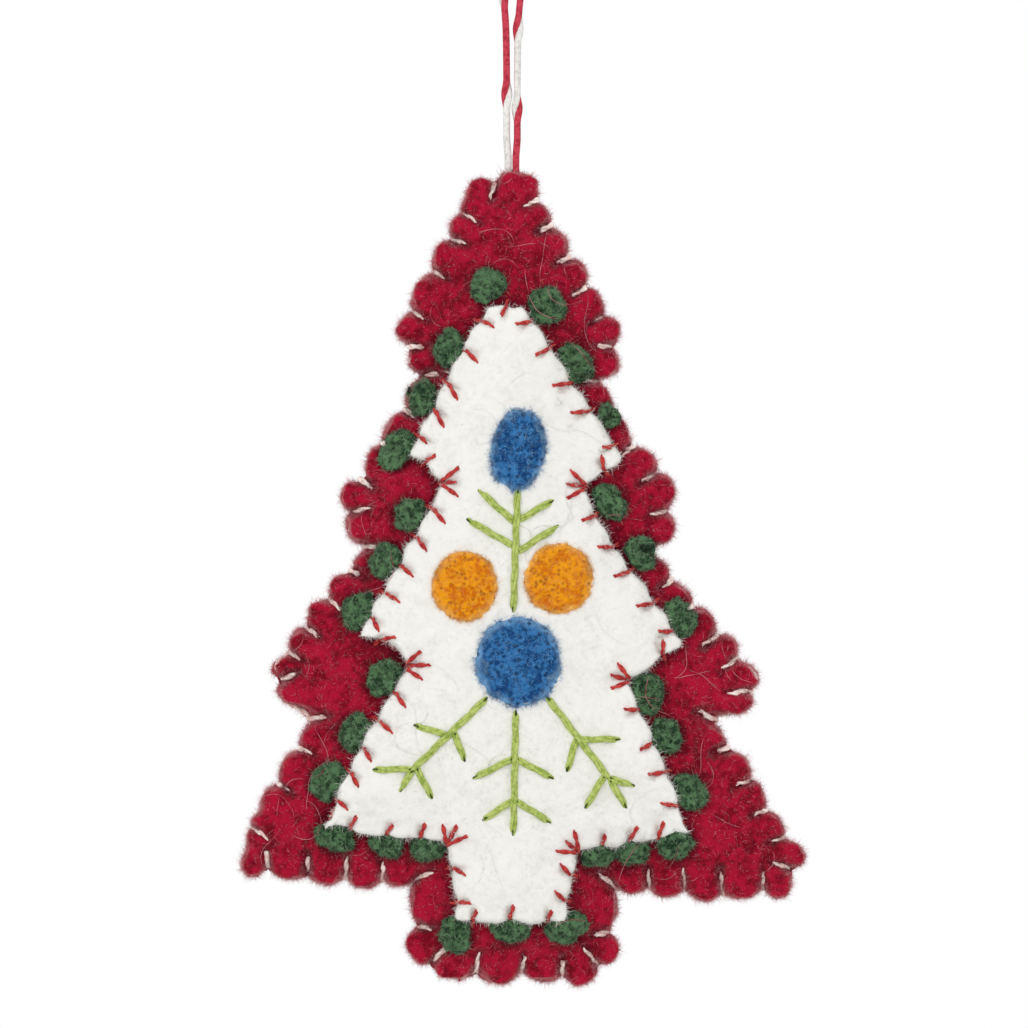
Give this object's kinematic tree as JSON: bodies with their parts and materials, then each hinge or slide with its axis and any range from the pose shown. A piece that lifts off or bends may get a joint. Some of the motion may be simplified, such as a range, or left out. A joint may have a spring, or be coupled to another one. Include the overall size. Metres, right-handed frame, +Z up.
{
  "type": "felt tree ornament",
  "caption": "Lightly stuffed red felt tree with scalloped blanket-stitched edges, a white felt tree sewn on the front with wool balls, dots and sprigs, hanging from a twine loop.",
  "frame": {"origin": "inside of the top of the hanging loop, where a hook holds it", "axes": "+Z up along the hanging loop, -Y out of the decorated front, +X to the right seen from the front"},
  "size_m": [0.0884, 0.0191, 0.1724],
  "materials": {
    "red_felt": "fuzzy wool felt",
    "white_felt": "fuzzy wool felt",
    "green_wool": "felted wool ball",
    "blue_wool": "needle-felted wool",
    "orange_wool": "needle-felted wool",
    "stuffing": "loose wool fill",
    "pale_thread": "spun thread",
    "red_thread": "spun thread",
    "green_thread": "embroidery thread",
    "twine": "two-ply red and white twine"
  },
  "bodies": {
    "loop_top": {"loop_crown": "twine"},
    "loop_strands": {"loop_strand_left": "twine", "loop_strand_right": "twine"},
    "loop_throat": {"loop_throat": "twine"},
    "tree": {"red_front_panel": "red_felt", "red_back_panel": "red_felt", "wool_stuffing": "stuffing", "white_tree": "white_felt", "loop_knot": "twine", "green_ball_01": "green_wool", "green_ball_02": "green_wool", "green_ball_03": "green_wool", "green_ball_04": "green_wool", "green_ball_05": "green_wool", "green_ball_06": "green_wool", "green_ball_07": "green_wool", "green_ball_08": "green_wool", "green_ball_09": "green_wool", "green_ball_10": "green_wool", "green_ball_11": "green_wool", "green_ball_12": "green_wool", "green_ball_13": "green_wool", "green_ball_14": "green_wool", "green_ball_15": "green_wool", "green_ball_16": "green_wool", "green_ball_17": "green_wool", "green_ball_18": "green_wool", "green_ball_19": "green_wool", "green_ball_20": "green_wool", "green_ball_21": "green_wool", "green_ball_22": "green_wool", "green_ball_23": "green_wool", "green_ball_24": "green_wool", "green_ball_25": "green_wool", "green_ball_26": "green_wool", "green_ball_27": "green_wool", "green_ball_28": "green_wool", "blue_oval_dot": "blue_wool", "blue_round_dot": "blue_wool", "orange_dot_left": "orange_wool", "orange_dot_right": "orange_wool", "edge_thread": "pale_thread", "sewing_thread": "red_thread", "sprig_top": "green_thread", "sprig_left": "green_thread", "sprig_centre": "green_thread", "sprig_right": "green_thread"}
  },
  "joints": [
    {"name": "spin", "type": "hinge", "parent": "loop_top", "child": "loop_strands", "pos_m": [0, 0, 0], "axis": [0, 0, 1], "range_deg": [-180, 180]},
    {"name": "fore_aft_swing", "type": "hinge", "parent": "loop_strands", "child": "loop_throat", "pos_m": [0, 0, -0.0399], "axis": [1, 0, 0], "range_deg": [-75, 75]},
    {"name": "side_sway", "type": "hinge", "parent": "loop_throat", "child": "tree", "pos_m": [0, 0, -0.0399], "axis": [0, 1, 0], "range_deg": [-75, 75]}
  ]
}
